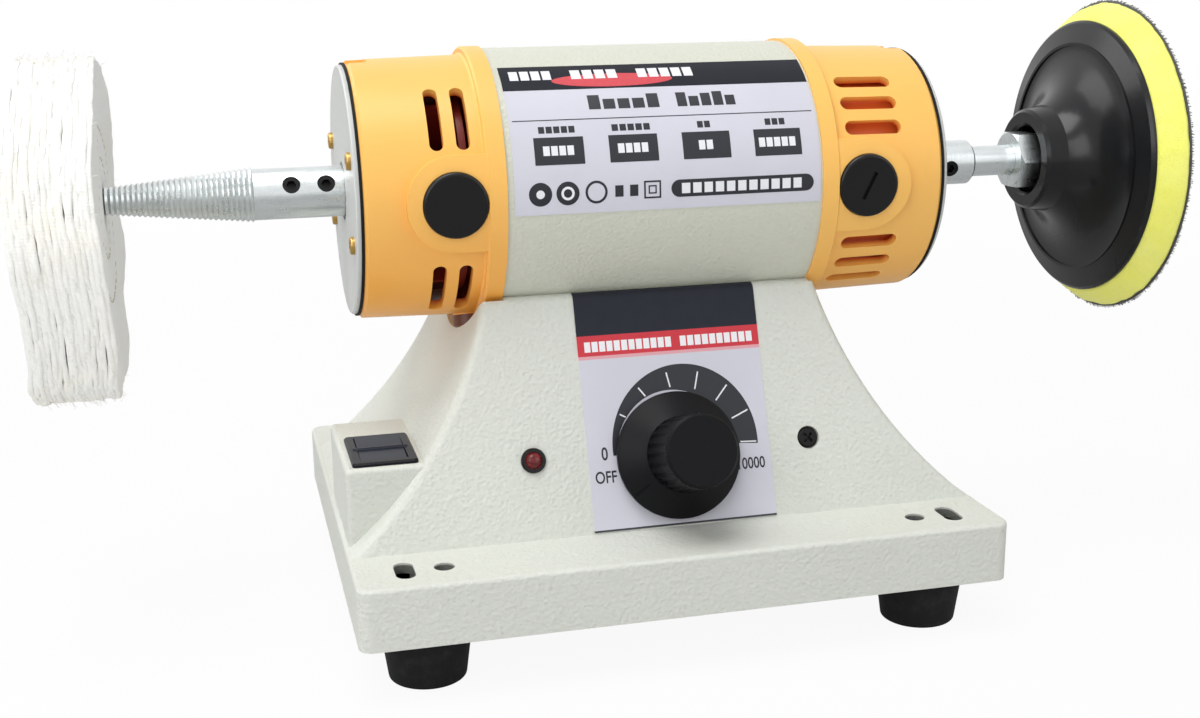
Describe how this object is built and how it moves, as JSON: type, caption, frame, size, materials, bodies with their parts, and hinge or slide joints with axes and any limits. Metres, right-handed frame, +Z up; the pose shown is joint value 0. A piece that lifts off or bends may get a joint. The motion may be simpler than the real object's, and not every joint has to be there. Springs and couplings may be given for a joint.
{
  "type": "bench polishing lathe",
  "caption": "Small bench polishing lathe: a motor on a flared stand turns a threaded taper spindle with a cotton buff at one end and a hook-and-loop sanding pad at the other.",
  "frame": {"origin": "centre of the stand's footprint, on the surface that the rubber feet stand on", "axes": "+X along the motor shaft towards the sanding pad, -Y towards the operator, +Z up"},
  "size_m": [0.3407, 0.1815, 0.1775],
  "materials": {
    "stand_paint": "fine wrinkle paint, satin",
    "plated_steel": "zinc plated, satin",
    "bright_steel": "turned and plated, bright",
    "black_screw": "blackened",
    "rubber_black": "moulded, matt",
    "switch_black": "fine grain, satin",
    "knob_black": "satin",
    "cap_black": "satin",
    "orange_plastic": "moulded, satin",
    "lens_red": "clear red, glossy",
    "label_film": "printed film",
    "board_green": "circuit board",
    "component_grey": "moulded",
    "terminal_white": "moulded",
    "lead_red": "insulated wire",
    "tube_paint": "fine wrinkle paint, satin",
    "laminated_steel": "stacked laminations",
    "enamelled_copper": "enamelled copper wire",
    "commutator_copper": "turned copper",
    "plate_grey": "pale grey, satin",
    "gasket_black": "matt",
    "screw_brass": "plain",
    "bearing_steel": "ground",
    "holder_brown": "moulded",
    "brush_carbon": "pressed carbon, matt",
    "spring_steel": "drawn wire",
    "fan_plastic": "moulded",
    "cotton_white": "soft sewn cotton",
    "pad_black": "moulded, satin",
    "foam_yellow": "soft foam",
    "hook_grey": "hook fabric",
    "insert_steel": "plain"
  },
  "bodies": {
    "frame": {"stand_shell": "stand_paint", "bottom_plate": "plated_steel", "underside_screws": "plated_steel", "rubber_feet": "rubber_black", "power_switch_housing": "switch_black", "lamp_bezel": "cap_black", "lamp_lens": "lens_red", "panel_screw": "black_screw", "dial_label": "label_film", "potentiometer_body": "plated_steel", "potentiometer_nut": "plated_steel", "speed_board": "board_green", "board_fixings": "plated_steel", "board_components": "component_grey", "terminal_block": "terminal_white", "motor_leads": "lead_red", "cord_gland": "rubber_black", "motor_mount_screws": "plated_steel", "motor_mount_nuts": "plated_steel", "motor_tube": "tube_paint", "tube_screws": "plated_steel", "rating_label": "label_film", "stator_core": "laminated_steel", "field_coils": "enamelled_copper", "left_end_cover": "orange_plastic", "left_end_plate": "plate_grey", "right_end_cover": "orange_plastic", "right_end_plate": "plate_grey", "gasket_rings": "gasket_black", "end_plate_screws": "screw_brass", "bearing_outer_rings": "bearing_steel", "blank_caps": "cap_black", "brush_caps": "cap_black", "brush_holders": "holder_brown", "brush_spring_front": "spring_steel", "brush_spring_back": "spring_steel"},
    "rotor": {"motor_shaft": "bright_steel", "armature_core": "laminated_steel", "armature_winding": "enamelled_copper", "commutator": "commutator_copper", "cooling_fan": "fan_plastic", "bearing_inner_rings": "bearing_steel", "taper_spindle": "bright_steel", "shaft_set_screws": "black_screw", "cotton_buff": "cotton_white", "pad_coupling": "bright_steel", "jam_nut": "bright_steel", "pad_backing": "pad_black", "pad_insert": "insert_steel", "pad_foam": "foam_yellow", "pad_hook_face": "hook_grey"},
    "left_balls": {"left_ball_set": "bearing_steel"},
    "right_balls": {"right_ball_set": "bearing_steel"},
    "knob": {"speed_knob": "knob_black", "potentiometer_shaft": "plated_steel", "knob_set_screw": "black_screw"},
    "rocker": {"power_rocker": "switch_black"},
    "front_brush": {"carbon_brush_front": "brush_carbon"},
    "back_brush": {"carbon_brush_back": "brush_carbon"}
  },
  "joints": [
    {"name": "rotor_spin", "type": "hinge", "parent": "frame", "child": "rotor", "pos_m": [0, 0, 0.1275], "axis": [1, 0, 0], "continuous": true},
    {"name": "left_ball_spin", "type": "hinge", "parent": "frame", "child": "left_balls", "pos_m": [-0.0805, 0, 0.1275], "axis": [1, 0, 0], "continuous": true},
    {"name": "right_ball_spin", "type": "hinge", "parent": "frame", "child": "right_balls", "pos_m": [0.0855, 0, 0.1275], "axis": [1, 0, 0], "continuous": true},
    {"name": "speed_knob_turn", "type": "hinge", "parent": "frame", "child": "knob", "pos_m": [0.0024, -0.04739, 0.0527], "axis": [0, 0.9409, -0.3387], "range_deg": [0, 218]},
    {"name": "rocker_tilt", "type": "hinge", "parent": "frame", "child": "rocker", "pos_m": [-0.0812, -0.0307, 0.0569], "axis": [-1, 0, 0], "range_deg": [0, 8]},
    {"name": "front_brush_slide", "type": "slide", "parent": "frame", "child": "front_brush", "axis": [0, -1, 0], "range_m": [0, 0.0015], "stiffness_N_per_m": 200, "springref_m": -0.008, "deforming": ["brush_spring_front"]},
    {"name": "back_brush_slide", "type": "slide", "parent": "frame", "child": "back_brush", "axis": [0, 1, 0], "range_m": [0, 0.0015], "stiffness_N_per_m": 200, "springref_m": -0.008, "deforming": ["brush_spring_back"]}
  ],
  "couplings": [
    {"joint": "left_ball_spin", "follows": "rotor_spin", "ratio": 0.3677},
    {"joint": "right_ball_spin", "follows": "rotor_spin", "ratio": 0.3677}
  ]
}
